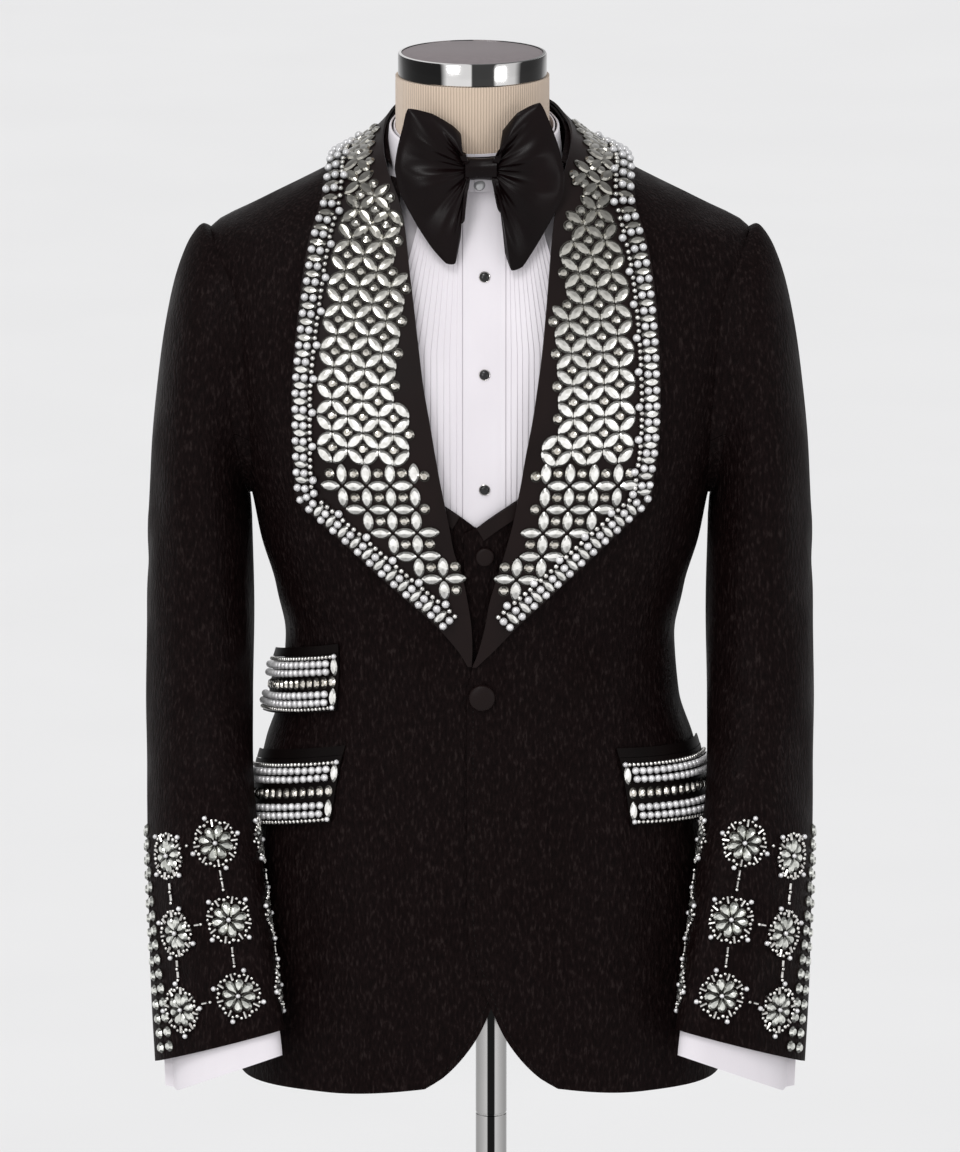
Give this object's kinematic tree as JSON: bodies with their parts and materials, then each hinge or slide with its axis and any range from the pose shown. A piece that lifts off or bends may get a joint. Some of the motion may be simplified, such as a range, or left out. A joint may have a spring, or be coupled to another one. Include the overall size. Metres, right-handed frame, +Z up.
{
  "type": "three-piece tuxedo on a dress form",
  "caption": "Tuxedo jacket with a beaded shawl collar, over a waistcoat, pleated shirt and bow tie, on a limbless dress form with a pole and a round base",
  "frame": {"origin": "on the floor, under the middle of the overall box", "axes": "+Z up, the front of the jacket faces -Y, and +X is the wearer's left"},
  "size_m": [0.5332, 0.344, 1.56],
  "materials": {
    "jacquard": "matte crinkled jacquard",
    "satin": "smooth satin, with sewn stones and pearls on the lapels and flaps",
    "bow_satin": "soft satin",
    "cotton": "pressed cotton",
    "jersey": "ribbed jersey",
    "steel": "polished",
    "cap": "satin",
    "stud": "glossy"
  },
  "bodies": {
    "root": {"base_plate": "steel", "bow_band": "bow_satin", "bow_knot": "bow_satin", "bow_wing_left": "bow_satin", "bow_wing_right": "bow_satin", "collar_stand": "satin", "form_torso": "jersey", "jacket_back_left": "jacquard", "jacket_back_right": "jacquard", "jacket_button": "jacquard", "jacket_front_left": "jacquard", "jacket_front_right": "jacquard", "jacket_side_left": "jacquard", "jacket_side_right": "jacquard", "lapel_left": "satin", "lapel_right": "satin", "left_pocket_flap": "satin", "left_pocket_jet": "satin", "neck_cap_band": "steel", "neck_cap_inlay": "cap", "pole": "steel", "pole_flange": "steel", "right_pocket_flap": "satin", "right_pocket_jet": "satin", "shirt_back": "cotton", "shirt_bib_left": "cotton", "shirt_bib_right": "cotton", "shirt_collar_fall": "cotton", "shirt_collar_stand": "cotton", "shirt_cuff_left": "cotton", "shirt_cuff_right": "cotton", "shirt_front_left": "cotton", "shirt_front_right": "cotton", "shirt_placket": "cotton", "shirt_stud_1": "stud", "shirt_stud_2": "stud", "shirt_stud_3": "stud", "ticket_pocket_flap": "satin", "ticket_pocket_jet": "satin", "top_sleeve_left": "jacquard", "top_sleeve_right": "jacquard", "under_sleeve_left": "jacquard", "under_sleeve_right": "jacquard", "vest_back": "satin", "vest_button": "jacquard", "vest_collar_left": "satin", "vest_collar_right": "satin", "vest_front_left": "jacquard", "vest_front_right": "jacquard"}
  },
  "joints": []
}
